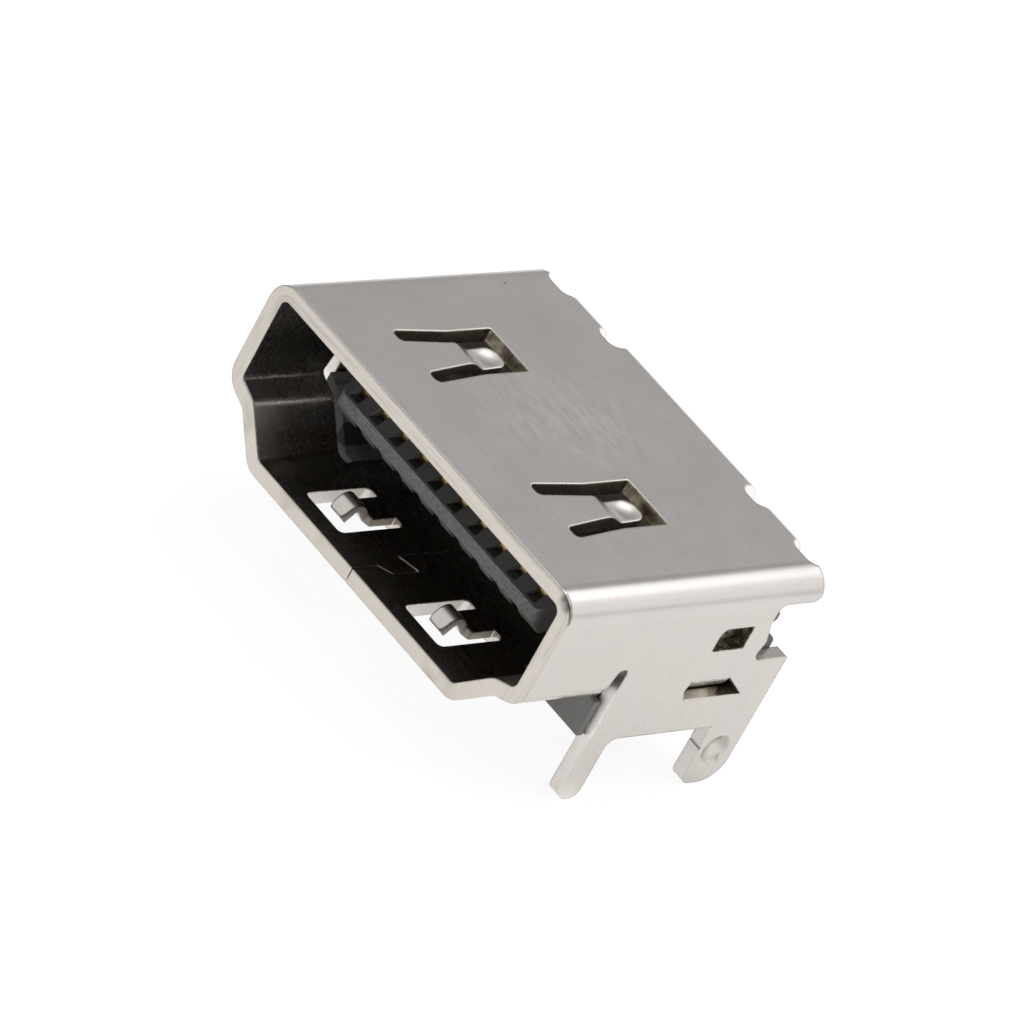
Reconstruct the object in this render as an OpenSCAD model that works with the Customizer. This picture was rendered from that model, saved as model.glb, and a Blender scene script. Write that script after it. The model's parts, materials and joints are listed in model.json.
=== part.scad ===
// Board socket for a digital video plug: a folded sheet shell around a moulded tongue with nineteen contacts.
// Millimetres. X runs across the mouth, Y from the mouth to the back, Z up from the board.
// The origin is on the board, in the middle of the four legs.

/* [Mouth] */
// Inside width of the mouth
mouth_w = 14; // [12.5:0.1:18]
// Inside height of the mouth
mouth_h = 4.55; // [4.2:0.05:6]
// Flat width of the mouth's floor
floor_w = 10; // [9:0.1:11]
// Width of the step in each lower corner
step_w = 0.83; // [0.7:0.01:1.1]
// Height of the step's outer edge above the floor
step_h = 1.55; // [1.3:0.05:1.9]
// Fall of the step towards the middle
step_fall = 0.3; // [0.1:0.05:0.4]

/* [Sheet] */
// Thickness of the shell's sheet
sheet_t = 0.5; // [0.3:0.05:0.6]
// Inside radius of the long bends
bend_r = 0.3; // [0.15:0.05:0.4]
// Depth of the top and the side panels
shell_d = 10.75; // [10.4:0.05:14]
// Depth of the part that is folded into a tube
fold_d = 3.3; // [2.8:0.05:3.4]
// Distance of the rear floor's edges from the floor's bends
floor_inset = 0.4; // [0.3:0.05:1]

/* [Seam] */
// Width of the gap along the seam
seam_gap = 0.06; // [0.04:0.01:0.15]
// Sideways place of the seam at the mouth
seam_x = -0.1; // [-0.5:0.05:0.5]
// Sideways place of the seam behind its key
seam_back_x = -0.45; // [-0.7:0.05:0.2]
// Distance from the mouth to the key
key_y = 1.05; // [0.5:0.05:1.5]
// Length of the key's head
key_l = 1.07; // [0.6:0.01:1.3]
// Reach of the key past the seam
key_reach = 0.4; // [0.2:0.05:0.8]
// Slant of the key's flanks
key_slant = 0.3; // [0.1:0.05:0.5]

/* [Side panels] */
// Distance from the tube to the relief slot in front of the leg
relief_back = 0.18; // [0.05:0.01:0.25]
// Height of the relief slot's top above the step
relief_h = 0.72; // [0.4:0.01:1.2]
// Distance from the rear edge to the upper hole's front
upper_hole_back = 3.65; // [3.35:0.05:5.2]
// Length of the upper hole
upper_hole_l = 1.35; // [0.8:0.05:1.6]
// Height of the upper hole's lower edge above the board
upper_hole_z = 3.12; // [2.8:0.02:3.4]
// Height of the upper hole
upper_hole_h = 0.86; // [0.4:0.02:1.1]
// Distance from the rear edge to the lance's front
lance_back = 3.85; // [3.5:0.05:5.2]
// Length of the lance's window along its upper edge
lance_l = 1.75; // [1.2:0.05:2]
// Extra length of the lance's window along its lower edge
lance_foot = 0.9; // [0.3:0.05:1]
// Forward reach of the middle of the lance's window
lance_nose = 0.2; // [0.05:0.05:0.3]
// Height of the lance's window above the board
lance_z = 1.25; // [0.9:0.01:1.5]
// Height of the lance's window
lance_h = 0.72; // [0.5:0.02:0.9]
// Clearance around the lance
lance_gap = 0.06; // [0.04:0.01:0.12]
// Inward reach of the lance's lower edge
lance_in = 0.46; // [0.14:0.02:0.5]
// Depth of the notch in the rear edge
notch_d = 1.63; // [1:0.01:2]
// Height of the notch's lower edge above the board
notch_z = 2.55; // [2.3:0.05:2.9]
// Height of the strip above the notch
notch_strip = 0.83; // [0.6:0.01:1.2]
// Corner radius of the holes and windows
hole_r = 0.1; // [0.05:0.01:0.15]
// Corner radius at the front of the upper hole's top
upper_hole_r = 0.3; // [0.1:0.05:0.4]
// Corner radius of the notch
notch_r = 0.3; // [0.1:0.05:0.4]
// Rearward bulge of the notch's edge
notch_bulge = 0.25; // [0:0.05:0.5]

/* [Legs] */
// Distance from the mouth to the front legs
front_leg_y = 3.9; // [3.7:0.05:5]
// Width of the front legs
front_leg_w = 0.85; // [0.6:0.05:1.2]
// Width of the rear legs
rear_leg_w = 1.6; // [1:0.05:2]
// Length of the legs below the board's top
leg_l = 2.27; // [1.4:0.01:3.5]
// Fillet between the front legs and the panel
leg_fillet = 0.35; // [0.1:0.05:0.6]
// Corner radius at the back of the rear legs' tips
rear_leg_r = 0.85; // [0.3:0.05:0.95]
// Depth of the crease across the rear legs' front edge
crease_d = 0.05; // [0.02:0.01:0.15]
// Depth of the crease below the board's top
crease_z = 0.85; // [0.6:0.05:1.2]
// Depth of the dimple in the rear legs
dimple_d = 0.2; // [0.05:0.01:0.25]
// Width of the dimple
dimple_w = 1.2; // [0.6:0.05:1.3]
// Depth of the dimple's middle below the board's top
dimple_z = 1; // [0.8:0.05:1.6]

/* [Top springs] */
// Distance of the top springs from the middle
top_spring_x = 3.5; // [2.5:0.05:4.5]
// Width of each top window at its rear
top_window_w = 2; // [1.7:0.05:2.4]
// Width of each top window at its front
top_window_front_w = 2.44; // [1.8:0.02:2.6]
// Distance from the mouth to the top windows
top_window_y = 2.3; // [1.5:0.05:2.8]
// Length of the top windows
top_window_l = 3.98; // [3.6:0.02:4.4]
// Width of the slots beside the arms
top_slot_w = 0.5; // [0.3:0.05:0.55]
// Radius of the slots' front ends
top_slot_r = 0.2; // [0.05:0.01:0.24]
// Width of the arms' heads
top_head_w = 0.94; // [0.5:0.02:1]
// Length of the straight part of the arms
top_arm_l = 2.1; // [1.4:0.05:2.4]
// Length of the slope from the straight part to the heads
top_drop_l = 0.55; // [0.4:0.05:0.8]
// Length of the heads
top_tip_l = 1.06; // [0.9:0.02:1.2]
// Reach of the heads into the mouth
top_reach = 0.1; // [0.04:0.02:0.3]
// Depth of the dents pressed into the heads
top_dent = 0.07; // [0.05:0.01:0.2]
// Width of the dents
top_dent_w = 0.76; // [0.4:0.02:0.76]
// Rise of the heads towards their tips
top_tip_rise = 0.06; // [0.02:0.02:0.2]
// Thickness of the pressed springs
spring_t = 0.3; // [0.2:0.01:0.4]
// Inside radius of the springs' crests
spring_r = 0.1; // [0.05:0.01:0.2]

/* [Floor springs] */
// Distance of the floor springs from the middle
floor_spring_x = 2.55; // [2:0.05:3.2]
// Width of each floor window
floor_window_w = 1.86; // [1.6:0.02:2.2]
// Distance from the mouth to the floor windows
floor_window_y = 0.72; // [0.5:0.02:1]
// Length of the floor windows
floor_window_l = 2.63; // [2.4:0.01:2.9]
// Corner radius of the floor windows
floor_window_r = 0.2; // [0.05:0.01:0.3]
// Width of the arms
floor_arm_w = 0.94; // [0.84:0.02:1.1]
// Width of the arms' heads
floor_head_w = 0.64; // [0.3:0.02:0.7]
// Distance from the window's front edge to the tip
floor_tip_gap = 0.5; // [0.2:0.02:0.6]
// Length of the turned-down tip
floor_tip_l = 0.54; // [0.4:0.02:0.8]
// Length of the sloping arm
floor_arm_l = 0.65; // [0.6:0.05:1.4]
// Corner radius of the arms' shoulders
shoulder_r = 0.08; // [0.04:0.01:0.12]
// Reach of the floor springs into the mouth
floor_reach = 0.68; // [0.3:0.02:0.74]

/* [Rear flap] */
// Width of the rear flap
flap_w = 6.4; // [4:0.1:7]
// Distance of the flap's outer face behind the top
flap_out = 0.69; // [0.6:0.01:1]
// Height of the flap's lower edge above the board
flap_z = 0.9; // [0.6:0.05:3]
// Inside radius of the flap's bend
flap_bend_r = 0.1; // [0.05:0.05:0.3]
// Distance of the rear tabs from the middle
tab_x = 4.2; // [3.8:0.05:4.4]
// Width of the rear tabs
tab_w = 1.45; // [0.8:0.05:1.6]
// Distance of the tabs' outer face behind the top
tab_out = 0.51; // [0.4:0.01:0.65]
// Height of the tabs' lower edge above the board
tab_z = 4.2; // [4.1:0.05:4.5]
// Distance of the rear corners from the middle
corner_x = 6.85; // [6.4:0.05:6.9]
// Depth of the bend notches
bend_notch = 0.25; // [0.1:0.05:0.5]
// Corner radius of the bend notches
bend_notch_r = 0.38; // [0.1:0.02:0.45]

/* [Housing] */
// Distance from the mouth to the tongue
tongue_y = 1.95; // [1.7:0.05:3]
// Width of the tongue
tongue_w = 10.2; // [9.8:0.05:10.8]
// Thickness of the tongue
tongue_t = 1.2; // [1:0.05:1.4]
// Height of the tongue's middle above the floor
tongue_z = 2.35; // [2.1:0.05:2.6]
// Corner radius of the tongue, seen from above
tongue_r = 0.3; // [0.1:0.05:0.5]
// Bevel of the tongue's front edges
tongue_bevel = 0.4; // [0.1:0.01:0.45]
// Distance from the mouth to the back wall of the mouth
back_wall_y = 6.9; // [6.6:0.05:7.2]
// Depth of the recess behind the back wall
recess_d = 1.4; // [1.3:0.05:1.8]
// Half width of the recess
recess_x = 5.5; // [5.3:0.05:6]
// Thickness of the roof above the recess
roof_t = 1.1; // [0.6:0.05:1.3]
// Distance of the feet ahead of the front legs
foot_ahead = 0.3; // [0.1:0.05:0.3]
// Outward reach of the feet in front of the legs
toe_out = 0.25; // [0.1:0.01:0.4]
// Height of the feet in front of the legs
toe_h = 1.3; // [0.6:0.05:1.5]
// Height of the rear ears above the board
ear_z = 2.93; // [2.6:0.05:3.2]
// Distance of the ears' ends in front of the rear edge
ear_in = 0.25; // [0.1:0.05:0.5]
// Height of the ribs above the ears
rib_gap = 0.57; // [0.3:0.01:0.7]
// Height of the ribs
rib_h = 0.45; // [0.2:0.05:0.6]
// Distance of the ribs' ends in front of the rear edge
rib_in = 0.65; // [0.4:0.05:0.9]
// Clearance between the mouldings and the sheet
housing_fit = 0.05; // [0.02:0.01:0.1]

/* [Contacts] */
// Distance between contacts of one row
pitch = 1; // [0.9:0.01:1.05]
// Width of the contacts on the tongue
contact_w = 0.36; // [0.24:0.02:0.4]
// Width of the tails
tail_w = 0.26; // [0.2:0.02:0.3]
// Thickness of the contacts
contact_t = 0.2; // [0.12:0.01:0.22]
// Depth of the grooves in the tongue
groove_d = 0.33; // [0.25:0.01:0.4]
// Distance from the tongue's front to the contacts
contact_back = 0.8; // [0.3:0.05:1.2]
// Distance from the back wall to the lower row's drop
lower_drop = 0.25; // [0.22:0.01:0.3]
// Distance between the drops of the two rows
drop_step = 0.6; // [0.4:0.05:0.7]
// Inside radius of the contacts' bends
contact_r = 0.12; // [0.08:0.01:0.15]
// Length of the tails past the flap
tail_out = 0.8; // [0.5:0.05:2]
// Clearance between contacts and mouldings
contact_fit = 0.03; // [0.01:0.01:0.04]

/* [Hidden] */
NODES = [
    "shell", "housing", "spacer",
    "contact_01", "contact_02", "contact_03", "contact_04", "contact_05", "contact_06", "contact_07",
    "contact_08", "contact_09", "contact_10", "contact_11", "contact_12", "contact_13", "contact_14",
    "contact_15", "contact_16", "contact_17", "contact_18", "contact_19"
];
$fn = 48;
bend_steps = 6;
past = 1;

// Sheet
wall_x = mouth_w / 2;
out_x = wall_x + sheet_t;
ceil_z = sheet_t + mouth_h;
top_z = ceil_z + sheet_t;
rear_leg_y = shell_d - rear_leg_w;
upper_hole_y = shell_d - upper_hole_back;
lance_y = shell_d - lance_back;
legs_y = (front_leg_y + front_leg_w / 2 + rear_leg_y + rear_leg_w / 2) / 2;
flap_y = shell_d + flap_out;
tab_y = shell_d + tab_out;
flap_outer_r = flap_bend_r + sheet_t;
floor_back_x = floor_w / 2 - floor_inset;
arm_w = top_window_w - 2 * top_slot_w;
arm_root_w = top_window_front_w - 2 * top_slot_w;
floor_end_y = back_wall_y - housing_fit;

// Mouldings
side_x = wall_x - housing_fit;
foot_y = front_leg_y - foot_ahead;
roof_z = ceil_z - housing_fit;
recess_end_y = tab_y - sheet_t - housing_fit;
recess_y = recess_end_y - recess_d;
tongue_mid_z = sheet_t + tongue_z;
recess_top_z = roof_z - roof_t;

// Contacts
upper_z = tongue_mid_z + tongue_t / 2 - groove_d + contact_fit;
lower_z = tongue_mid_z - tongue_t / 2 + groove_d - contact_fit - contact_t;
lower_drop_y = recess_y + lower_drop;
upper_drop_y = lower_drop_y + drop_step;
contact_y = tongue_y + contact_back;
tail_y = flap_y + tail_out;
groove_w = contact_w + 2 * contact_fit;
spacer_z = upper_z - 2 * contact_fit;
contact_count = len(NODES) - 3;

// Path helpers: a path is a list of points, and a station is a point with the path's direction there
function unit(v) = v / norm(v);
function left(v) = [-v.y, v.x];
function turned(v, a) = [v.x * cos(a) - v.y * sin(a), v.x * sin(a) + v.y * cos(a)];
function angle_between(u, v) = atan2(cross(u, v), u * v);
function bend(p, q, s, r) =
    let (u = unit(q - p), a = angle_between(u, unit(s - q)), side = a < 0 ? -1 : 1)
    let (start = q - u * r * tan(abs(a) / 2), centre = start + left(u) * side * r)
    [for (i = [0 : bend_steps]) let (d = turned(u, a * i / bend_steps)) [centre - left(d) * side * r, d]];
function stations(path, radii) =
    let (n = len(path))
    [
        [path[0], unit(path[1] - path[0])],
        for (i = [1 : n - 2]) each bend(path[i - 1], path[i], path[i + 1], radii[i - 1]),
        [path[n - 1], unit(path[n - 1] - path[n - 2])]
    ];
function beside(list, d) = [for (s = list) s[0] + left(s[1]) * d];
function backwards(list) = [for (i = [len(list) - 1 : -1 : 0]) list[i]];
function flipped(list) = [for (p = backwards(list)) [-p.x, p.y]];

// Radius of a ball that presses a dent of a given width and depth
function ball_r(w, d) = (w * w / 4 + d * d) / (2 * d);

// Closed outline from [x, y, corner radius] entries
function rounded(corners) =
    let (n = len(corners), at = [for (c = corners) [c[0], c[1]]])
    [for (i = [0 : n - 1]) each corners[i][2] == 0
        ? [at[i]]
        : [for (s = bend(at[(i + n - 1) % n], at[i], at[(i + 1) % n], corners[i][2])) s[0]]];

// Band of sheet on the right of a path
module strip(path, radii, t) {
    line = stations(path, radii);
    polygon(concat(beside(line, 0), backwards(beside(line, -t))));
}

// Extrusions of an outline in XZ along Y, and of one in YZ along X
module along_y(y0, y1) {
    translate([0, y1, 0]) rotate([90, 0, 0]) linear_extrude(y1 - y0) children();
}

module along_x(x0, x1) {
    translate([x0, 0, 0]) rotate([90, 0, 90]) linear_extrude(x1 - x0) children();
}

module along_z(z0, z1) {
    translate([0, 0, z0]) linear_extrude(z1 - z0) children();
}

module both_sides() {
    children();
    mirror([1, 0, 0]) children();
}

// Moves a piece that is drawn from the mouth's front to the middle of the legs
module on_board() {
    translate([0, -legs_y, 0]) children();
}

// Inside line of the tube's right half, from the floor to the top
tube_corners = [
    [0, sheet_t],
    [floor_w / 2, sheet_t],
    [wall_x - step_w, sheet_t + step_h - step_fall],
    [wall_x, sheet_t + step_h],
    [wall_x, ceil_z],
    [0, ceil_z]
];
tube_line = stations(tube_corners, [bend_r, bend_r + sheet_t, bend_r, bend_r]);
panel_line = stations([[wall_x, -leg_l - past], [wall_x, ceil_z], [0, ceil_z]], [bend_r]);

module sheet_section(line) {
    difference() {
        polygon(concat(beside(line, -sheet_t), flipped(beside(line, -sheet_t))));
        polygon(concat(beside(line, 0), flipped(beside(line, 0))));
    }
}

module panel_section() {
    inner = beside(panel_line, 0);
    outer = beside(panel_line, -sheet_t);
    polygon(concat(outer, flipped(outer), backwards(flipped(inner)), backwards(inner)));
}

// Side view of everything behind the tube
module side_outline() {
    step_z = sheet_t + step_h;
    strip_z = top_z - notch_strip;
    notch_y = shell_d - notch_d;
    tip_r = front_leg_w * 4 / 9;
    relief_y = fold_d + relief_back;
    relief_r = (front_leg_y - relief_y) * 4 / 9;
    polygon(rounded([
        [fold_d, top_z + past, 0],
        [fold_d, step_z - bend_r / 2, 0],
        [relief_y, step_z + relief_h, relief_r],
        [front_leg_y, step_z + relief_h, relief_r],
        [front_leg_y, -leg_l, tip_r],
        [front_leg_y + front_leg_w, -leg_l, tip_r],
        [front_leg_y + front_leg_w, 0, leg_fillet],
        [rear_leg_y, 0, 0],
        [rear_leg_y, crease_d - crease_z, 0],
        [rear_leg_y + crease_d, -crease_z, 0],
        [rear_leg_y, -crease_z - crease_d, 0],
        [rear_leg_y, -leg_l, leg_fillet],
        [shell_d, -leg_l, rear_leg_r],
        [shell_d, notch_z, 0],
        [notch_y, notch_z, notch_r],
        [notch_y + notch_bulge, notch_z + (strip_z - notch_z) / 3, notch_bulge],
        [notch_y, notch_z + (strip_z - notch_z) * 2 / 3, notch_bulge],
        [notch_y, strip_z, notch_r],
        [shell_d, strip_z, notch_r],
        [shell_d, top_z + past, 0]
    ]));
}

// Lance window, with its lower edge longer than its upper one
module lance_window() {
    polygon([
        [lance_y + lance_nose, lance_z],
        [lance_y + lance_l + lance_foot, lance_z],
        [lance_y + lance_l, lance_z + lance_h],
        [lance_y + lance_nose / 2, lance_z + lance_h],
        [lance_y, lance_z + lance_h / 2]
    ]);
}

module upper_hole() {
    polygon(rounded([
        [upper_hole_y, upper_hole_z, hole_r],
        [upper_hole_y + upper_hole_l, upper_hole_z, hole_r],
        [upper_hole_y + upper_hole_l, upper_hole_z + upper_hole_h, hole_r],
        [upper_hole_y, upper_hole_z + upper_hole_h, upper_hole_r]
    ]));
}

// Tongue of sheet that the lance window leaves, bent inwards from the window's upper edge
module lance() {
    hinge_z = lance_z + lance_h;
    front_y = lance_y + lance_nose + lance_gap;
    rear_y = lance_y + lance_l - lance_gap;
    foot_y = rear_y + lance_foot / 2;
    intersection() {
        along_y(front_y, foot_y)
            strip([
                [out_x, hinge_z + bend_r],
                [out_x, hinge_z - lance_gap],
                [out_x - lance_in, lance_z + lance_gap]
            ], [sheet_t + lance_gap], sheet_t);
        along_x(0, out_x + past) polygon([
            [front_y, lance_z - past],
            [foot_y, lance_z - past],
            [foot_y, lance_z],
            [rear_y, hinge_z],
            [rear_y, hinge_z + past],
            [front_y, hinge_z + past]
        ]);
    }
}

module plan_window(y, w, l, r) {
    polygon(rounded([
        [-w / 2, y, r],
        [w / 2, y, r],
        [w / 2, y + l, r],
        [-w / 2, y + l, r]
    ]));
}

// Slit between the two edges that meet in the floor
module seam() {
    seam_line = stations([
        [seam_x, -past],
        [seam_x, key_y],
        [seam_x + key_reach, key_y + key_slant],
        [seam_x + key_reach, key_y + key_slant + key_l],
        [seam_back_x, key_y + key_l],
        [seam_back_x, floor_end_y + past]
    ], [seam_gap, seam_gap, seam_gap, seam_gap]);
    polygon(concat(beside(seam_line, seam_gap / 2), backwards(beside(seam_line, -seam_gap / 2))));
}

// Rounded notch in the top's rear edge, from one side place to another
module edge_notch(x0, x1) {
    notch_line = shell_d - bend_notch;
    polygon(rounded([
        [x0, shell_d + past, 0],
        [x0, notch_line, bend_notch_r],
        [x1, notch_line, bend_notch_r],
        [x1, shell_d + past, 0]
    ]));
}

// What is cut from the top's rear edge: bend lines of the flap and tabs, and the notches between them
module rear_edge_cut() {
    flap_line = flap_y - flap_outer_r;
    tab_line = tab_y - flap_outer_r;
    translate([-flap_w / 2, flap_line]) square([flap_w, past]);
    both_sides() {
        translate([tab_x, tab_line]) square([tab_w, past]);
        edge_notch(flap_w / 2, tab_x);
        edge_notch(tab_x + tab_w, corner_x);
    }
}

// Sheet that runs on from the top's rear edge and folds down
module fold_down(y, low_z, w) {
    along_x(-w / 2, w / 2)
        strip([[y - 2 * flap_outer_r, top_z], [y, top_z], [y, low_z]], [flap_outer_r], sheet_t);
}

// Plan of a top window, which narrows towards its rear
module top_window() {
    rear_y = top_window_y + top_window_l;
    neck_y = top_window_y + top_arm_l;
    half = [
        [top_window_front_w / 2, top_window_y, top_slot_r],
        [top_window_w / 2, neck_y, top_arm_l],
        [top_window_w / 2, rear_y, hole_r]
    ];
    polygon(rounded(concat(half, [for (c = backwards(half)) [-c[0], c[1], c[2]]])));
}

module top_spring() {
    arm_y = top_window_y + top_arm_l;
    head_y = arm_y + top_drop_l;
    head_z = ceil_z - top_reach + spring_t;
    tip_y = head_y + top_tip_l;
    tip_r = top_head_w * 2 / 5;
    root_w = arm_root_w + 4 * top_slot_r;
    dent_r = ball_r(top_dent_w, top_dent);
    dent_at = [0, (head_y + tip_y) / 2, head_z + top_tip_rise / 2 + dent_r - top_dent];
    half = [
        [root_w / 2, top_window_y - past / 2, 0],
        [root_w / 2, top_window_y, 0],
        [arm_root_w / 2, top_window_y, top_slot_r],
        [arm_w / 2, arm_y - bend_r, bend_r],
        [top_head_w / 2, arm_y + bend_r, bend_r],
        [top_head_w / 2, tip_y, tip_r]
    ];
    difference() {
        intersection() {
            union() {
                along_x(-root_w / 2, root_w / 2)
                    strip([
                        [top_window_y - past, top_z],
                        [arm_y, top_z],
                        [head_y, head_z],
                        [tip_y, head_z + top_tip_rise]
                    ], [bend_r + spring_t, bend_r], spring_t);
                intersection() {
                    translate(dent_at) sphere(dent_r + spring_t);
                    translate([-past, head_y, head_z - past]) cube([2 * past, top_tip_l, past - spring_t / 2]);
                }
            }
            along_z(0, top_z + past)
                polygon(rounded(concat(half, [for (c = backwards(half)) [-c[0], c[1], c[2]]])));
        }
        translate(dent_at) sphere(dent_r);
    }
}

module floor_spring() {
    tip_y = floor_window_y + floor_tip_gap;
    crest_y = tip_y + floor_tip_l;
    root_y = crest_y + floor_arm_l;
    end_y = floor_window_y + floor_window_l + past / 2;
    head_y = crest_y + floor_arm_l * 5 / 6;
    tip_r = floor_head_w / 4;
    shoulder_y = head_y + spring_t / 3;
    intersection() {
        along_x(-floor_arm_w / 2, floor_arm_w / 2)
            strip([[tip_y, sheet_t], [crest_y, sheet_t + floor_reach], [root_y, sheet_t], [end_y, sheet_t]],
                [spring_r + spring_t, bend_r], spring_t);
        along_z(-past, ceil_z) polygon(rounded([
            [-floor_head_w / 2, tip_y, tip_r],
            [floor_head_w / 2, tip_y, tip_r],
            [floor_head_w / 2, head_y, shoulder_r],
            [floor_arm_w / 2, shoulder_y, shoulder_r],
            [floor_arm_w / 2, end_y, 0],
            [-floor_arm_w / 2, end_y, 0],
            [-floor_arm_w / 2, shoulder_y, shoulder_r],
            [-floor_head_w / 2, head_y, shoulder_r]
        ]));
    }
}

// Round dent in a rear leg, drawn at a surface with its hollow towards +X
module dimple() {
    dent_r = ball_r(dimple_w, dimple_d);
    translate([dent_r - dimple_d, rear_leg_y + rear_leg_w / 2, -dimple_z]) sphere(dent_r);
}

module shell() {
    color([0.72, 0.7, 0.67]) on_board() {
        difference() {
            union() {
                along_y(0, fold_d) sheet_section(tube_line);
                translate([-floor_back_x, fold_d - past, 0])
                    cube([2 * floor_back_x, floor_end_y - fold_d + past, sheet_t]);
                intersection() {
                    along_y(fold_d, shell_d) panel_section();
                    along_x(-out_x - past, out_x + past) side_outline();
                }
            }
            along_x(-out_x - past, out_x + past) upper_hole();
            along_x(-out_x - past, out_x + past) lance_window();
            along_z(ceil_z - past / 2, top_z + past) rear_edge_cut();
            along_z(-past, sheet_t + past / 2) seam();
            for (side = [-1, 1]) {
                translate([side * top_spring_x, 0, 0]) along_z(ceil_z - past / 2, top_z + past) top_window();
                translate([side * floor_spring_x, 0, 0]) along_z(-past, sheet_t + past / 2)
                    plan_window(floor_window_y, floor_window_w, floor_window_l, floor_window_r);
            }
            both_sides() translate([out_x, 0, 0]) dimple();
        }
        for (side = [-1, 1]) {
            translate([side * top_spring_x, 0, 0]) top_spring();
            translate([side * floor_spring_x, 0, 0]) floor_spring();
            translate([side * (tab_x + tab_w / 2), 0, 0]) fold_down(tab_y, tab_z, tab_w);
        }
        fold_down(flap_y, flap_z, flap_w);
        both_sides() lance();
    }
}

// Room inside the panels and the top, with rounded upper corners
module inside_section() {
    line = beside(panel_line, housing_fit);
    polygon(concat(line, flipped(line)));
}

// Foot between the floor and a side panel, with the mouth's own lower corner on its inside
module foot_section() {
    polygon([
        [floor_back_x + housing_fit, 0],
        [side_x, 0],
        [side_x, sheet_t + step_h],
        [wall_x - step_w, sheet_t + step_h - step_fall],
        [floor_w / 2, sheet_t],
        [floor_back_x + housing_fit, sheet_t]
    ]);
}

// Side view of the tongue
module tongue_side() {
    low = tongue_mid_z - tongue_t / 2;
    high = tongue_mid_z + tongue_t / 2;
    polygon([
        [tongue_y, low + tongue_bevel],
        [tongue_y + tongue_bevel, low],
        [back_wall_y + past / 2, low],
        [back_wall_y + past / 2, high],
        [tongue_y + tongue_bevel, high],
        [tongue_y, high - tongue_bevel]
    ]);
}

module tongue_plan() {
    polygon(rounded([
        [-tongue_w / 2, tongue_y, tongue_r],
        [tongue_w / 2, tongue_y, tongue_r],
        [tongue_w / 2, back_wall_y + past, 0],
        [-tongue_w / 2, back_wall_y + past, 0]
    ]));
}

// Side view of the housing beside the recess, with an ear below and a rib above
module cheek_side() {
    ear_y = shell_d - ear_in;
    rib_y = shell_d - rib_in;
    cheek_y = rib_y - rib_h;
    rib_z = ear_z + rib_gap;
    polygon([
        [recess_y - past / 2, 0],
        [ear_y, 0],
        [ear_y, ear_z - rib_h / 3],
        [ear_y - rib_h / 3, ear_z],
        [cheek_y, ear_z],
        [cheek_y, rib_z],
        [rib_y - rib_h / 4, rib_z],
        [rib_y, rib_z + rib_h / 4],
        [rib_y, rib_z + rib_h * 3 / 4],
        [rib_y - rib_h / 4, rib_z + rib_h],
        [cheek_y, rib_z + rib_h],
        [cheek_y, roof_z],
        [recess_y - past / 2, roof_z]
    ]);
}

module housing() {
    color([0.2, 0.2, 0.21]) on_board() difference() {
        union() {
            intersection() {
                along_y(0, shell_d) inside_section();
                union() {
                    translate([-side_x, back_wall_y, 0]) cube([2 * side_x, recess_y - back_wall_y, roof_z]);
                    both_sides() along_x(recess_x, side_x) cheek_side();
                    translate([-recess_x - past / 2, recess_y - past / 2, recess_top_z])
                        cube([2 * recess_x + past, recess_end_y - recess_y + past / 2, roof_t]);
                }
            }
            both_sides() {
                along_y(foot_y, back_wall_y + past / 2) foot_section();
                translate([side_x - toe_out, foot_y, 0]) cube([2 * toe_out, foot_ahead - housing_fit, toe_h]);
            }
            intersection() {
                along_x(-tongue_w, tongue_w) tongue_side();
                along_z(0, roof_z) tongue_plan();
            }
        }
        for (i = [1 : contact_count]) translate([contact_x(i), 0, 0]) groove(i);
        both_sides() translate([wall_x - lance_in - sheet_t, lance_y, lance_z - lance_gap])
            cube([sheet_t + lance_in + past, lance_l + lance_foot + bend_r, lance_h + 2 * lance_gap + bend_r]);
    }
}

// Comb behind the housing, with one channel for each contact's drop and tail
module spacer() {
    front_y = recess_y + housing_fit;
    color([0.2, 0.2, 0.21]) on_board() difference() {
        translate([-recess_x + housing_fit, front_y, 0])
            cube([2 * (recess_x - housing_fit), recess_end_y - front_y, spacer_z]);
        for (i = [1 : contact_count]) translate([contact_x(i) - groove_w / 2, 0, 0]) {
            drop_y = drop_of(i) + contact_fit;
            translate([0, front_y - past, -past])
                cube([groove_w, drop_y - front_y + past, spacer_z + 2 * past]);
            translate([0, drop_y - past / 4, -past])
                cube([groove_w, tail_y, past + contact_t + contact_fit]);
            translate([0, drop_y - past / 4, 0]) fillet_room();
        }
    }
}

// Room for the bend at the foot of a drop
module fillet_room() {
    bend = contact_r + contact_t + contact_fit;
    translate([0, 0, -past]) cube([groove_w, past / 4 + bend, past + bend]);
}

function contact_x(i) = (i - (contact_count + 1) / 2) * pitch / 2;
function is_upper(i) = i % 2 == 1;
function level_of(i) = is_upper(i) ? upper_z : lower_z;
function drop_of(i) = is_upper(i) ? upper_drop_y : lower_drop_y;

// Groove in the tongue, open at its front, that runs on through the back wall
module groove(i) {
    low = is_upper(i) ? upper_z - contact_fit : tongue_mid_z - tongue_t / 2 - past;
    high = is_upper(i) ? tongue_mid_z + tongue_t / 2 + past : lower_z + contact_t + contact_fit;
    translate([-groove_w / 2, tongue_y - past, low])
        cube([groove_w, back_wall_y - tongue_y + past, high - low]);
    translate([-groove_w / 2, back_wall_y - past, level_of(i) - contact_fit])
        cube([groove_w, recess_y - back_wall_y + 2 * past, contact_t + 2 * contact_fit]);
}

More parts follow.
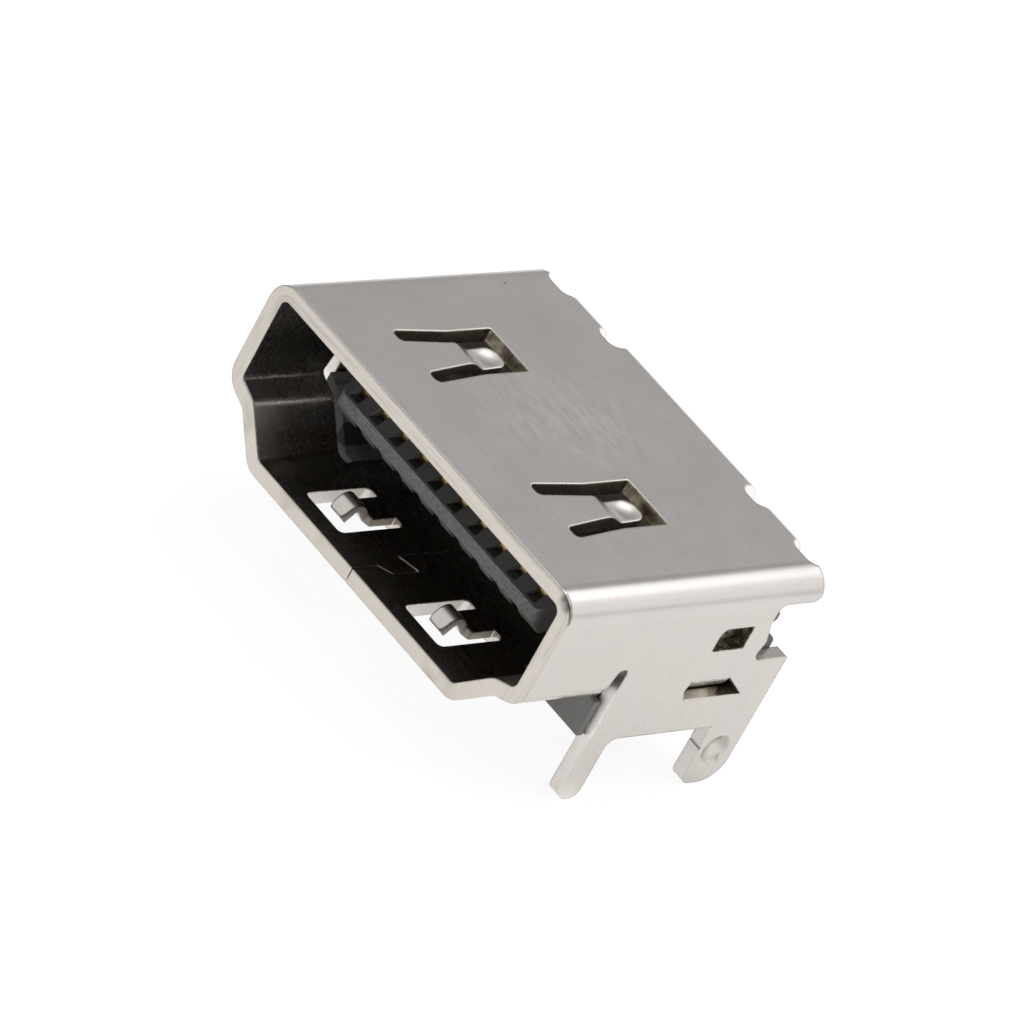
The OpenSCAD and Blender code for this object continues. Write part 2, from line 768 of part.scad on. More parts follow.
// Contact blade along the tongue, its drop behind the back wall and its tail on the board
module contact(i) {
    level = level_of(i) + contact_t;
    drop = drop_of(i);
    outer_r = contact_r + contact_t;
    color([0.83, 0.66, 0.3]) on_board() translate([contact_x(i), 0, 0]) intersection() {
        along_x(-contact_w / 2, contact_w / 2)
            strip([[contact_y, level], [drop, level], [drop, contact_t], [tail_y, contact_t]],
                [outer_r, contact_r], contact_t);
        along_z(-past, roof_z) polygon([
            [-contact_w / 2, contact_y - past],
            [contact_w / 2, contact_y - past],
            [contact_w / 2, recess_y],
            [tail_w / 2, recess_y + (contact_w - tail_w) / 2],
            [tail_w / 2, tail_y + past],
            [-tail_w / 2, tail_y + past],
            [-tail_w / 2, recess_y + (contact_w - tail_w) / 2],
            [-contact_w / 2, recess_y]
        ]);
    }
}

function contact_name(i) = str("contact_", i < 10 ? "0" : "", i);

shell();
housing();
spacer();
for (i = [1 : contact_count]) contact(i);
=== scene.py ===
import json
import math

import bpy
from mathutils import Matrix, Vector

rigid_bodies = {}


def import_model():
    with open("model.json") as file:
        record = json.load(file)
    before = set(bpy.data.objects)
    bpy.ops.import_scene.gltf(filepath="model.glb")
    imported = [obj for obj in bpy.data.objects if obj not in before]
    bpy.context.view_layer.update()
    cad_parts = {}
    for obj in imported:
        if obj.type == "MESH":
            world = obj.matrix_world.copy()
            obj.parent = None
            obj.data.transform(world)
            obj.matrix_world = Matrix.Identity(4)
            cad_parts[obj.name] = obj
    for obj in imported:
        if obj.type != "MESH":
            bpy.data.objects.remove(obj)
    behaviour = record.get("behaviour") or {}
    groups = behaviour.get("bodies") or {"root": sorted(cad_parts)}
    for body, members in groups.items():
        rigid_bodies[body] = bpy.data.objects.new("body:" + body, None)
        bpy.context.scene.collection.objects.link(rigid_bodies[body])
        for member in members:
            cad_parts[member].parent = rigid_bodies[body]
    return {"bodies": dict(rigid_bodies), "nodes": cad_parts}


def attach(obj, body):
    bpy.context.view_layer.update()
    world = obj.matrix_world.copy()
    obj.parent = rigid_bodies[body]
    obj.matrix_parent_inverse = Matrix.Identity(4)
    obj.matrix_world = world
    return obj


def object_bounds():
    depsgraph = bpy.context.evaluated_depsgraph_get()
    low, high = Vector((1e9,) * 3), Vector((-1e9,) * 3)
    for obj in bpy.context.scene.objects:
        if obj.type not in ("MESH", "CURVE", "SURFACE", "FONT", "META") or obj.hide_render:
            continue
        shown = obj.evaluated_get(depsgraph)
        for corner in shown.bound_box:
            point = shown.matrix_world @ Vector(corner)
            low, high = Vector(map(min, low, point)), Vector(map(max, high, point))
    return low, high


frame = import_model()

nodes = frame["nodes"]
for obj in list(bpy.data.objects):
    if obj.name not in nodes and obj not in frame["bodies"].values():
        bpy.data.objects.remove(obj)
cad_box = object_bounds()

MM = 0.001
# Places on the part in mm: x across the mouth, y from the mouth to the back, z up from the board
DIMPLE_YZ = (2.81, -1.0)          # middle of the dimples in the rear legs
HANDLED_XY = (-0.4, -1.2)         # middle of the handling marks on the top
BEND_XZ = (6.7, 4.75)             # middle of the tube's upper bends
FLOOR_SPRING_X = 2.55             # middle of the floor springs
# Edges
SHEET_EDGE = 0.1 * MM             # radius in the sheet's shading
PLASTIC_BEVEL = 0.03 * MM
CONTACT_BEVEL = 0.02 * MM
BEVEL_SEGMENTS = 2
SHARP_ANGLE = math.radians(32)
FLAT_ANGLE = math.radians(0.3)
MERGE_DISTANCE = 1e-7
# Noses of the upper contacts: distance in front of the contact and drop of the upper face, in mm
NOSE_SECTIONS = ((0.0, 0.0), (0.22, 0.0), (0.3, 0.06))
NOSE_TIP = 0.05 * MM              # length of contact that gives the nose its section
UPPER_CONTACTS = range(1, 20, 2)
# Stage
FLOOR_RADIUS = 1.2
LAMP_PLACE, LAMP_SIZE, LAMP_WATTS = (0.02, 0.06, 0.3), 0.4, 0.53
PANEL_WAY = (-0.506, -0.487, 0.711)
# Camera fitted to the photograph: a long lens, rolled, from the front right and above
PHOTO_PIXELS = 1024
FOCAL_PIXELS = 7896.38
SENSOR_MM = 36
CAMERA_PLACE_MM = (117.69, -167.20, 115.71)
CAMERA_WAY = (-0.5059, 0.7116, -0.4876)
CAMERA_RIGHT = (0.5741, 0.6996, 0.4254)
CAMERA_CLIP = (0.01, 10)


def add_node(tree, kind, inputs=(), **settings):
    """A node of that kind, with its settings, and its inputs set or linked by socket name or index."""
    node = tree.nodes.new(kind)
    for key, value in settings.items():
        setattr(node, key, value)
    for key, value in dict(inputs).items():
        if isinstance(value, bpy.types.NodeSocket):
            tree.links.new(value, node.inputs[key])
        else:
            node.inputs[key].default_value = value
    return node


def opaque(colour):
    """Linear red, green and blue with full cover, or a socket as it is."""
    return (*colour, 1) if isinstance(colour, tuple) else colour


class Shading:
    """The node tree of a material or world, and the operations that the looks are made of."""

    def __init__(self, owner):
        owner.use_nodes = True
        self.owner = owner
        self.tree = owner.node_tree
        self.tree.nodes.clear()
        self.values = {}

    def add(self, kind, inputs=(), **settings):
        return add_node(self.tree, kind, inputs, **settings)

    def math(self, operation, *values):
        return self.add("ShaderNodeMath", dict(enumerate(values)), operation=operation).outputs[0]

    def product(self, *values):
        result = values[0]
        for value in values[1:]:
            result = self.math("MULTIPLY", result, value)
        return result

    def total(self, start, *weighted):
        """The start value plus each value times its weight."""
        for value, weight in weighted:
            start = self.math("MULTIPLY_ADD", value, weight, start)
        return start

    def length(self, a, b):
        squares = self.math("ADD", self.math("MULTIPLY", a, a), self.math("MULTIPLY", b, b))
        return self.math("SQRT", squares)

    def step(self, value, none, full, to_none=0.0, to_full=1.0):
        """Smooth step of a value, from its limit for none to its limit for full."""
        limits = {"Value": value, "From Min": none, "From Max": full, "To Min": to_none, "To Max": to_full}
        return self.add("ShaderNodeMapRange", limits, interpolation_type="SMOOTHSTEP").outputs["Result"]

    def span(self, factor, low, high):
        """Maps a 0 to 1 factor to the range low to high."""
        limits = {"Value": factor, "To Min": low, "To Max": high}
        return self.add("ShaderNodeMapRange", limits).outputs["Result"]

    def between(self, value, low, high, border):
        """1 from low to high, 0 outside, with a soft border."""
        return self.product(self.step(value, low - border, low), self.step(value, high + border, high))

    def mask(self, **limits):
        """1 in a region of the part and 0 outside it. Each limit is (none, full) for a smooth step or
        (low, high, border) for a band, along a place in mm or a part of the facing."""
        steps = []
        for name, limit in limits.items():
            test = self.step if len(limit) == 2 else self.between
            steps.append(test(self.values[name], *limit))
        return self.product(*steps)

    def blend(self, factor, low, high):
        colours = {0: factor, 6: opaque(low), 7: opaque(high)}
        return self.add("ShaderNodeMix", colours, data_type="RGBA").outputs[2]

    def paint(self, base, layers):
        """Lays colours over a base. Each layer is its mask, the share of the base that it covers and its colour."""
        for mask, share, colour in layers:
            base = self.blend(self.math("MULTIPLY", mask, share), base, colour)
        return base

    def ramp(self, factor, *stops):
        """Colour ramp of two stops, each a place and a colour."""
        node = self.add("ShaderNodeValToRGB", {"Fac": factor})
        for element, (place, colour) in zip(node.color_ramp.elements, stops):
            element.position = place
            element.color = opaque(colour)
        return node.outputs["Color"]

    def in_mm(self, stretch=(1, 1, 1)):
        """Object coordinates in millimetres, stretched along each axis."""
        coords = self.add("ShaderNodeTexCoord").outputs["Object"]
        scale = tuple(s / MM for s in stretch)
        return self.add("ShaderNodeMapping", {"Vector": coords, "Scale": scale}).outputs["Vector"]

    def axes(self, vector):
        return self.add("ShaderNodeSeparateXYZ", {0: vector}).outputs

    def locate(self):
        """Names the place in mm and the facing for mask: far_x is the distance from the middle, and side_on,
        end_on and flat_on are the facing's parts without their sign."""
        x, y, z = self.axes(self.in_mm())
        facing = self.axes(self.add("ShaderNodeNewGeometry").outputs["True Normal"])
        self.values.update(x=x, y=y, z=z, far_x=self.math("ABSOLUTE", x))
        self.values.update(zip(("faces_x", "faces_y", "faces_z"), facing))
        self.values.update(zip(("side_on", "end_on", "flat_on"), [self.math("ABSOLUTE", part) for part in facing]))
        return x, y, z

    def noise(self, scale, detail=3.0, roughness=0.55, stretch=(1, 1, 1), vector=None):
        """Noise with that many features for each mm, on the part's place or on another vector."""
        if vector is None:
            vector = self.in_mm(stretch)
        inputs = {"Vector": vector, "Scale": scale, "Detail": detail, "Roughness": roughness}
        return self.add("ShaderNodeTexNoise", inputs).outputs["Fac"]

    def specks(self, scale, size, share):
        """1 in a few round spots, 0 elsewhere."""
        cells = self.add("ShaderNodeTexVoronoi", {"Vector": self.in_mm(), "Scale": scale, "Randomness": 1.0})
        near = self.step(cells.outputs["Distance"], size * scale, 0.5 * size * scale)
        draw = self.add("ShaderNodeSeparateColor", {0: cells.outputs["Color"]}).outputs[0]
        return self.product(near, self.math("LESS_THAN", draw, share))

    def bump(self, height, strength, distance, **inputs):
        relief = {"Strength": strength, "Distance": distance, "Height": height, **inputs}
        return self.add("ShaderNodeBump", relief).outputs["Normal"]

    def finish(self, inputs):
        shader = self.add("ShaderNodeBsdfPrincipled", inputs)
        self.add("ShaderNodeOutputMaterial", {"Surface": shader.outputs["BSDF"]})
        return self.owner


# Materials

def nickel_sheet():
    """Satin nickel on rolled sheet: faint cloud and rolling lines, handling marks on the top, draw lines on the legs,
    a painted brown reflection on the punched walls of the windows, shear marks on the mouth's end face, and painted
    light and shade in the mouth, on the legs and on the lances."""
    s = Shading(bpy.data.materials.new("nickel_sheet"))
    x, y, z = s.locate()
    far_x, side_on, end_on = (s.values[name] for name in ("far_x", "side_on", "end_on"))

    cloud = s.noise(0.55)
    tint = s.noise(0.9, 2)
    shear = s.noise(5, 4, 0.65)
    lines = s.noise(1.3, 3, 0.6, stretch=(0.35, 5, 5))
    draw = s.noise(1.5, 3, 0.6, stretch=(4, 4, 0.22))
    marks = s.noise(1.4, 4, 0.6, stretch=(1.2, 3.6, 2))
    scale = s.noise(3.4, 4, 0.7, stretch=(2.2, 2.2, 1))
    grain = s.noise(9, 2, stretch=(0.5, 1.6, 1.2))

    # Top: a rubbed patch in the middle, a line of painted shade beside the right bend, and the pads of the springs
    mid_x = s.math("MULTIPLY", s.math("SUBTRACT", x, HANDLED_XY[0]), 1.3)
    mid_y = s.math("SUBTRACT", y, HANDLED_XY[1])
    handled = s.product(s.step(s.length(mid_x, mid_y), 4.0, 1.2), s.mask(z=(5.3, 5.5)), s.step(marks, 0.44, 0.62))
    level_top = s.mask(flat_on=(0.9, 0.97), z=(5.4, 5.5))
    bend = s.product(s.mask(far_x=(6.7, 6.9), z=(4.6, 4.8), end_on=(0.6, 0.4)), s.step(cloud, 0.35, 0.65, 0.5, 1.0))
    # painted shade: a darker line on the top where the right bend begins
    bend_line_shade = s.mask(x=(6.64, 6.7, 0.12), z=(5.4, 5.5))
    pads = s.mask(z=(4.7, 5.3, 0.05), faces_z=(0.7, 0.85), y=(-4.8, -0.7, 0.1))

    # End of the mouth: streaks that follow the sheet round its bends, and a dark patch on the right upper bend
    mouth_end = s.mask(y=(-6.95, -7.1), end_on=(0.6, 0.9))
    past_x = s.math("MAXIMUM", s.math("SUBTRACT", far_x, BEND_XZ[0]), 0.0)
    past_z = s.math("MAXIMUM", s.math("SUBTRACT", z, BEND_XZ[1]), 0.0)
    depth = s.length(past_x, past_z)
    along = s.add("ShaderNodeCombineXYZ", {0: s.math("MULTIPLY", x, 0.35), 1: s.math("MULTIPLY", z, 0.35),
                                           2: s.math("MULTIPLY", depth, 9.0)}).outputs[0]
    streaks = s.noise(1.0, 3, 0.6, vector=along)
    turn = s.math("ARCTAN2", past_z, past_x)
    dark_patch = s.product(mouth_end, s.mask(x=(6.7, 6.75)), s.step(depth, 0.38, 0.7), s.between(turn, 0.8, 1.15, 0.4),
                      s.step(shear, 0.3, 0.5, 0.55, 1.0))
    lip = s.mask(y=(-6.98, -7.06), end_on=(0.6, 0.4), x=(6.85, 6.95), z=(4.75, 4.9))

    # Inside the mouth: painted shade on the floor and on the right sides of its springs
    s.values["spring_x"] = s.math("SUBTRACT", x, s.math("MULTIPLY", s.math("SIGN", x), FLOOR_SPRING_X))
    # painted shade: the right sides of the floor springs dark brown, and the floor inside the mouth darker
    spring_side_shade = s.mask(faces_x=(0.15, 0.4), spring_x=(0.2, 0.6, 0.05), y=(-6.3, -3.0, 0.1), z=(1.6, 1.5))
    inner_floor_shade = s.mask(faces_z=(0.7, 0.9), z=(0.4, 0.6, 0.05), far_x=(6.8, 6.6))

    # Sides and legs: the panels, painted light on the front legs' faces beside the toes, the sheared rear edge and
    # painted shade in the dimples
    low = s.mask(z=(4.3, -1.5))
    side_panel = s.mask(side_on=(0.85, 0.97), far_x=(7.3, 7.4))
    blotch = s.ramp(tint, (0.38, (0.602, 0.572, 0.526)), (0.62, (0.602, 0.560, 0.540)))
    # painted light: the front legs' faces beside the toes lightened where the toes darken them
    cheek_painted_light = s.mask(faces_y=(-0.6, -0.9), far_x=(7.0, 7.1), z=(0.3, 1.6, 0.3), y=(-3.6, -2.6, 0.1))
    sheared = s.mask(side_on=(0.7, 0.9), y=(2.9, 3.1), z=(4.0, 4.2), far_x=(6.6, 6.4))
    # painted shade in the dimples of the rear legs: darker on their upper and lower sides
    dimple_y = s.math("SUBTRACT", y, DIMPLE_YZ[0])
    dimple_z = s.math("SUBTRACT", z, DIMPLE_YZ[1])
    high_side = s.step(s.math("ADD", s.math("MULTIPLY", dimple_z, 0.8), s.math("MULTIPLY", dimple_y, 0.5)), 0.0, 0.3)
    low_side = s.step(s.math("MULTIPLY_ADD", dimple_z, 0.3, dimple_y), -0.1, -0.4)
    dimple_shade = s.product(s.step(s.length(dimple_y, dimple_z), 0.6, 0.45), s.mask(far_x=(7.1, 7.2)),
                        s.math("MAXIMUM", high_side, low_side))

    # Punched walls of the top windows and the side holes with a painted brown reflection, and painted light on the
    # lances behind the lower holes
    top_wall = s.mask(flat_on=(0.6, 0.35), z=(4.9, 5.05), y=(-5.2, -0.5, 0.1), far_x=(5.4, 5.3))
    hole_wall = s.product(s.mask(side_on=(0.6, 0.35), far_x=(6.9, 7.0), y=(-0.3, 2.6, 0.1), z=(1.1, 4.1, 0.1)),
                          s.step(z, 2.2, 2.9, 0.08, 1.0))
    punched_reflection = s.math("MAXIMUM", top_wall, s.math("MULTIPLY", hole_wall, 0.6))
    # painted highlight: the back walls lighter towards the top, and painted shade: the side walls darker, within the
    # brown reflection
    back_wall_highlight = s.product(s.step(end_on, 0.6, 0.8), s.step(z, 5.0, 5.5, 0.1, 0.75), s.step(marks, 0.38, 0.6))
    brown_reflection = s.paint(s.ramp(scale, (0.35, (0.15, 0.12, 0.08)), (0.65, (0.62, 0.54, 0.41))), [
        (back_wall_highlight, 1.0, (0.86, 0.80, 0.70)),
        (s.step(side_on, 0.6, 0.8), 0.7, (0.15, 0.125, 0.09)),
    ])
    spotted = s.product(hole_wall, s.mask(z=(2.3, 2.5)), s.step(shear, 0.46, 0.56))
    # painted light: the lances and the sills of the lower holes lighter, more so towards the back
    lance_painted_light = s.mask(far_x=(6.0, 7.44, 0.03), y=(-0.5, 1.6, 0.1), z=(0.9, 2.2, 0.1))
    lance_light_tone = s.blend(s.mask(y=(0.2, 1.2)), (0.50, 0.475, 0.445), (0.74, 0.705, 0.655))
    oxide = s.mask(far_x=(5.5, 7.44, 0.03), y=(1.45, 2.6, 0.12), z=(1.1, 2.2, 0.1), faces_z=(0.5, 0.3))
    oxide_tone = s.ramp(scale, (0.35, (0.28, 0.22, 0.15)), (0.65, (0.8, 0.7, 0.56)))

    clean = s.ramp(cloud, (0.3, (0.63, 0.60, 0.572)), (0.7, (0.668, 0.641, 0.612)))
    base = s.paint(clean, [
        (s.step(lines, 0.35, 0.75), 0.35, (0.60, 0.572, 0.552)),
        (handled, 0.75, (0.49, 0.455, 0.43)),
        (s.product(low, s.step(draw, 0.46, 0.72)), 0.42, (0.50, 0.45, 0.41)),
        (s.product(mouth_end, s.step(shear, 0.4, 0.7, 0.4, 0.9)), 1.0, (0.645, 0.595, 0.53)),
        (s.product(mouth_end, s.step(streaks, 0.52, 0.66)), 0.55, (0.44, 0.40, 0.35)),
        (dark_patch, 0.85, (0.06, 0.06, 0.052)),
        (side_panel, 0.6, blotch),
        (bend, 0.8, (0.635, 0.612, 0.608)),
        (level_top, 0.55, (0.675, 0.66, 0.652)),
        (bend_line_shade, 0.4, (0.40, 0.385, 0.38)),
        (lip, 0.75, (0.16, 0.15, 0.14)),
        (spring_side_shade, 0.8, (0.13, 0.105, 0.08)),
        (inner_floor_shade, 0.85, (0.2, 0.18, 0.15)),
        (cheek_painted_light, 1.0, (0.97, 0.95, 0.92)),
        (pads, 0.3, (0.78, 0.76, 0.74)),
        (dimple_shade, 0.65, (0.36, 0.33, 0.29)),
        (sheared, 1.0, (0.9, 0.885, 0.87)),
        (punched_reflection, 0.85, brown_reflection),
        (s.product(s.specks(0.42, 0.085, 0.3), level_top), 0.75, (0.16, 0.145, 0.13)),
        (spotted, 0.8, (0.10, 0.085, 0.06)),
        (lance_painted_light, 0.9, lance_light_tone),
        (oxide, 0.9, oxide_tone),
    ])
    rough = s.total(s.span(cloud, 0.21, 0.28), (handled, 0.1), (lines, 0.06),
                    (s.math("MAXIMUM", punched_reflection, mouth_end), 0.16), (pads, 0.08), (cheek_painted_light, 0.3))
    height = s.total(grain, (draw, low), (shear, s.math("MULTIPLY", mouth_end, 2.0)))
    edges = s.add("ShaderNodeBevel", {"Radius": SHEET_EDGE}, samples=8).outputs["Normal"]
    return s.finish({
        "Base Color": base,
        "Metallic": s.math("SUBTRACT", 1.0, s.math("MULTIPLY", oxide, 0.8)),
        "Roughness": rough,
        "Normal": s.bump(height, 0.04, 0.02 * MM, Normal=edges),
    })


def moulded_plastic():
    """Matt dark grey moulding: short fibres, painted shade on the tongue's top, in its grooves and beside it, a worn
    front end on the tongue, feet painted lighter, and painted light in a brown mottle where it shows through the side
    holes."""
    s = Shading(bpy.data.materials.new("moulded_plastic"))
    z = s.locate()[2]
    cloud = s.noise(1.3)
    grain = s.noise(18)
    fibres = s.noise(9, 2, stretch=(1, 6, 6))
    worn = s.noise(3, 4, 0.7, stretch=(2, 4, 5))

    # painted shade: the tongue's top and its groove floors darkened where the shell's top shades them
    tongue_top_shade = s.mask(y=(-1.0, -1.4), z=(2.0, 2.2), faces_z=(0.2, 0.6))
    groove_shade = s.mask(y=(-1.0, -1.4), faces_z=(0.8, 0.95), z=(3.06, 3.18, 0.03))
    tongue_end = s.mask(y=(-5.05, -5.15), faces_z=(0.4, 0.2), z=(2.1, 3.2, 0.1))
    # painted light: the feet lighter than the rest of the moulding
    foot_painted_light = s.mask(z=(1.5, 1.2), y=(-3.0, -3.3))
    # painted shade: the housing beside the tongue, deep in the mouth, nearly black
    inside = s.math("MAXIMUM", s.mask(far_x=(5.65, 5.6)), s.mask(far_x=(6.65, 6.6), z=(1.85, 1.95)))
    shade_beside_tongue = s.product(s.mask(far_x=(5.13, 5.18), y=(-0.6, -0.9), z=(0.6, 5.0, 0.05)), inside)
    front_face = s.mask(faces_y=(-0.6, -0.9), y=(0.2, 0.1))
    # painted light: a light brown mottle in the shaded plastic behind the side holes, lighter still behind the lower
    # holes
    pocket_painted_light = s.product(s.mask(far_x=(5.6, 5.8), y=(-0.6, 1.6, 0.1), z=(1.0, 4.2, 0.1)),
                     s.math("SUBTRACT", 1.0, front_face))
    pocket_light_tone = s.ramp(s.noise(5.0, 4, 0.75), (0.40, (0.14, 0.12, 0.09)), (0.62, (0.78, 0.69, 0.56)))
    pocket_light_tone = s.paint(pocket_light_tone, [(s.step(z, 2.4, 2.1), 0.75, (0.75, 0.65, 0.52))])

    plain = s.ramp(cloud, (0.3, (0.185, 0.183, 0.179)), (0.7, (0.24, 0.237, 0.232)))
    base = s.paint(plain, [
        (s.step(fibres, 0.58, 0.72), 0.35, (0.31, 0.306, 0.297)),
        (tongue_top_shade, 0.75, (0.035, 0.034, 0.033)),
        (groove_shade, 0.9, (0.008, 0.008, 0.008)),
        (s.product(tongue_end, s.step(worn, 0.4, 0.6, 0.1, 0.8)), 1.0, (0.36, 0.357, 0.352)),
        (foot_painted_light, 0.7, (0.33, 0.329, 0.325)),
        (shade_beside_tongue, 0.8, (0.03, 0.029, 0.028)),
        (pocket_painted_light, 0.9, pocket_light_tone),
    ])
    return s.finish({
        "Base Color": base,
        "Roughness": s.span(grain, 0.55, 0.7),
        "Specular IOR Level": 0.25,
        "Normal": s.bump(grain, 0.25, 0.03 * MM),
    })


def gold_plate():
    s = Shading(bpy.data.materials.new("gold_plate"))
    cloud = s.noise(2.2, stretch=(3, 1, 1))
    return s.finish({
        "Base Color": s.ramp(cloud, (0.3, (0.74, 0.52, 0.20)), (0.7, (0.86, 0.65, 0.29))),
        "Metallic": 1.0,
        "Roughness": s.span(cloud, 0.2, 0.32),
    })


# Smooth shading of the solids, with small bevels on the mouldings and contacts

def smooth_group():
    """Geometry nodes that join the facets and shade them smooth, apart from the sharp edges."""
    group = bpy.data.node_groups.new("joined_smooth", "GeometryNodeTree")
    group.interface.new_socket("Geometry", in_out="INPUT", socket_type="NodeSocketGeometry")
    group.interface.new_socket("Geometry", in_out="OUTPUT", socket_type="NodeSocketGeometry")
    start = group.nodes.new("NodeGroupInput")
    merge = add_node(group, "GeometryNodeMergeByDistance", {"Geometry": start.outputs[0], "Distance": MERGE_DISTANCE})
    smooth = add_node(group, "GeometryNodeSetShadeSmooth", {"Geometry": merge.outputs[0]})
    angle = add_node(group, "GeometryNodeInputMeshEdgeAngle").outputs["Unsigned Angle"]
    edges = add_node(group, "FunctionNodeCompare", {0: angle, 1: SHARP_ANGLE},
                     data_type="FLOAT", operation="GREATER_THAN")
    crisp = add_node(group, "GeometryNodeSetShadeSmooth", {
        "Geometry": smooth.outputs[0], "Selection": edges.outputs[0], "Shade Smooth": False}, domain="EDGE")
    end = group.nodes.new("NodeGroupOutput")
    group.links.new(crisp.outputs[0], end.inputs[0])
    return group


def soften(obj, group, width=None):
    joined = obj.modifiers.new("joined", "NODES")
    joined.node_group = group
    flat = obj.modifiers.new("flat", "DECIMATE")
    flat.decimate_type = "DISSOLVE"
    flat.angle_limit = FLAT_ANGLE
    if width:
        bevel = obj.modifiers.new("edges", "BEVEL")
        bevel.width = width
        bevel.segments = BEVEL_SEGMENTS
        bevel.limit_method = "ANGLE"
        bevel.angle_limit = SHARP_ANGLE
        bevel.harden_normals = True
    normals = obj.modifiers.new("normals", "WEIGHTED_NORMAL")
    normals.keep_sharp = True


def dress(obj, mat):
    obj.data.materials.clear()
    obj.data.materials.append(mat)


sheet = nickel_sheet()
plastic = moulded_plastic()
gold = gold_plate()
smooth = smooth_group()
for name, obj in nodes.items():
    if name == "shell":
        dress(obj, sheet)
        soften(obj, smooth)
    elif name in ("housing", "spacer"):
        dress(obj, plastic)
        soften(obj, smooth, PLASTIC_BEVEL)
    else:
        dress(obj, gold)
        soften(obj, smooth, CONTACT_BEVEL)


# Rounded noses that lead the upper contacts in, in front of the solids' square ends

def nose_mesh():
    verts, faces = [], []
    for number in UPPER_CONTACTS:
        strip = [v.co for v in nodes["contact_%02d" % number].data.vertices]
        front = min(p.y for p in strip)
        tip = [p for p in strip if p.y < front + NOSE_TIP]
        left, right = min(p.x for p in tip), max(p.x for p in tip)
        low, high = min(p.z for p in tip), max(p.z for p in tip)
        first = len(verts)
        for place, drop in NOSE_SECTIONS:
            y = front - place * MM
            top = high - drop * MM
            verts += [(left, y, low), (right, y, low), (right, y, top), (left, y, top)]
        for ring in (first, first + 4):
            for side in range(4):
                after = (side + 1) % 4
                faces.append((ring + side, ring + after, ring + 4 + after, ring + 4 + side))
        faces.append((first + 8, first + 9, first + 10, first + 11))
    mesh = bpy.data.meshes.new("contact_noses")
    mesh.from_pydata(verts, [], faces)
    return mesh


scene = bpy.context.scene
noses = bpy.data.objects.new("contact_noses", nose_mesh())
scene.collection.objects.link(noses)
dress(noses, gold)
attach(noses, "root")


# Floor: white to the camera, where it keeps the shadow, and a card of uneven brightness to the metal's reflections

def floor_card():
    s = Shading(bpy.data.materials.new("floor"))
    x, y, _ = s.axes(s.in_mm())
    s.values.update(x=x, y=y, far_x=s.math("ABSOLUTE", x))
    path = s.add("ShaderNodeLightPath")
    # painted light in the metal's reflections: the floor glows brighter under the springs and behind the holes, where
    # the object's shadow falls, and dimmer beside the legs
    under_springs = s.mask(y=(-7.5, -2.5, 1.0), far_x=(9.0, 7.5))
    behind_holes = s.mask(y=(-1.5, 2.2, 0.6), far_x=(4.5, 7.3, 0.3))
    beside_legs = s.mask(x=(7.5, 9.0), y=(-1.5, -3.0))
    card = s.total(s.step(y, 0.0, -3.0, 0.33, 0.48), (under_springs, 0.14))
    card = s.product(card, s.step(y, -11.0, -17.0, 1.16, 0.96), s.step(x, -13.0, -9.5, 0.7, 1.0))
    card = s.total(card, (behind_holes, 0.3))
    card = s.product(card, s.math("SUBTRACT", 1.0, s.math("MULTIPLY", beside_legs, 0.45)),
                     path.outputs["Is Glossy Ray"])
    paper = s.add("ShaderNodeBsdfDiffuse", {"Color": (0.75, 0.75, 0.75, 1)})
    sheen = s.add("ShaderNodeEmission", {"Color": (1, 1, 1, 1), "Strength": card})
    lit = s.add("ShaderNodeAddShader", {0: paper.outputs[0], 1: sheen.outputs[0]})
    faint = s.add("ShaderNodeBsdfDiffuse", {"Color": (0.16, 0.16, 0.16, 1)})
    light = s.add("ShaderNodeEmission", {"Color": (1, 1, 1, 1), "Strength": 0.9})
    white = s.add("ShaderNodeAddShader", {0: faint.outputs[0], 1: light.outputs[0]})
    both = s.add("ShaderNodeMixShader", {0: path.outputs["Is Camera Ray"], 1: lit.outputs[0], 2: white.outputs[0]})
    s.add("ShaderNodeOutputMaterial", {"Surface": both.outputs[0]})
    return s.owner


bpy.ops.mesh.primitive_circle_add(vertices=96, radius=FLOOR_RADIUS, fill_type="NGON", location=(0, 0, cad_box[0].z))
floor = bpy.context.object
floor.name = "floor"
dress(floor, floor_card())


# Light: a dim room, a bright wall behind on the right, a soft panel high on the left in front, and one lamp

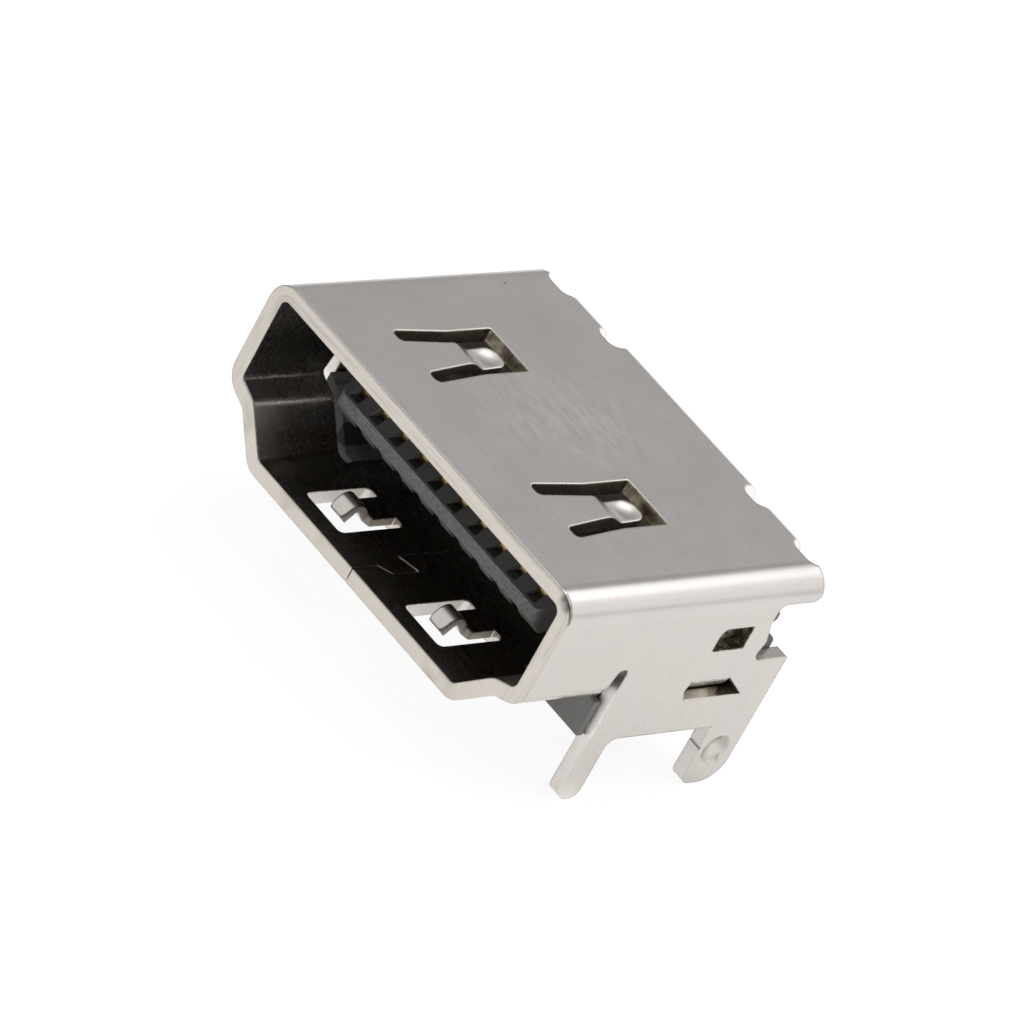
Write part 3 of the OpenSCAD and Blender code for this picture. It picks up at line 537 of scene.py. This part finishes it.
def studio():
    s = Shading(bpy.data.worlds.new("studio"))
    path = s.add("ShaderNodeLightPath")
    ray = s.add("ShaderNodeTexCoord").outputs["Generated"]
    ray_x, ray_y, ray_z = s.axes(ray)
    room = s.step(ray_y, -0.5, 0.5, 0.12, 0.45)
    wall = s.product(s.step(ray_x, -0.40, -0.24), s.step(ray_y, 0.1, 0.4), s.step(ray_z, 0.0, 0.25, 0.45, 1.0))
    toward_panel = s.add("ShaderNodeVectorMath", {0: ray, 1: PANEL_WAY}, operation="DOT_PRODUCT").outputs["Value"]
    level = s.total(room, (wall, 0.68), (s.step(toward_panel, 0.84, 0.93), 0.8))
    shown = {0: path.outputs["Is Camera Ray"], 2: level, 3: 1.0}
    strength = s.add("ShaderNodeMix", shown, data_type="FLOAT").outputs[0]
    back = s.add("ShaderNodeBackground", {"Color": (1, 0.985, 0.97, 1), "Strength": strength})
    s.add("ShaderNodeOutputWorld", {"Surface": back.outputs[0]})
    return s.owner


scene.world = studio()
lamp = bpy.data.lights.new("overhead", "AREA")
lamp.shape = "DISK"
lamp.size = LAMP_SIZE
lamp.energy = LAMP_WATTS
overhead = bpy.data.objects.new("overhead", lamp)
overhead.location = LAMP_PLACE
overhead.rotation_euler = (-Vector(LAMP_PLACE)).to_track_quat("-Z", "Y").to_euler()
scene.collection.objects.link(overhead)


# Camera

lens = bpy.data.cameras.new("camera")
lens.sensor_width = SENSOR_MM
lens.lens = FOCAL_PIXELS * SENSOR_MM / PHOTO_PIXELS
lens.clip_start, lens.clip_end = CAMERA_CLIP
camera = bpy.data.objects.new("camera", lens)
forward = Vector(CAMERA_WAY).normalized()
right = Vector(CAMERA_RIGHT)
right = (right - forward * right.dot(forward)).normalized()
up = right.cross(forward)
turn = Matrix((right, up, -forward)).transposed()
camera.matrix_world = Matrix.Translation(Vector(CAMERA_PLACE_MM) * MM) @ turn.to_4x4()
scene.collection.objects.link(camera)
scene.camera = camera
scene.view_settings.view_transform = "Standard"

bpy.context.view_layer.update()
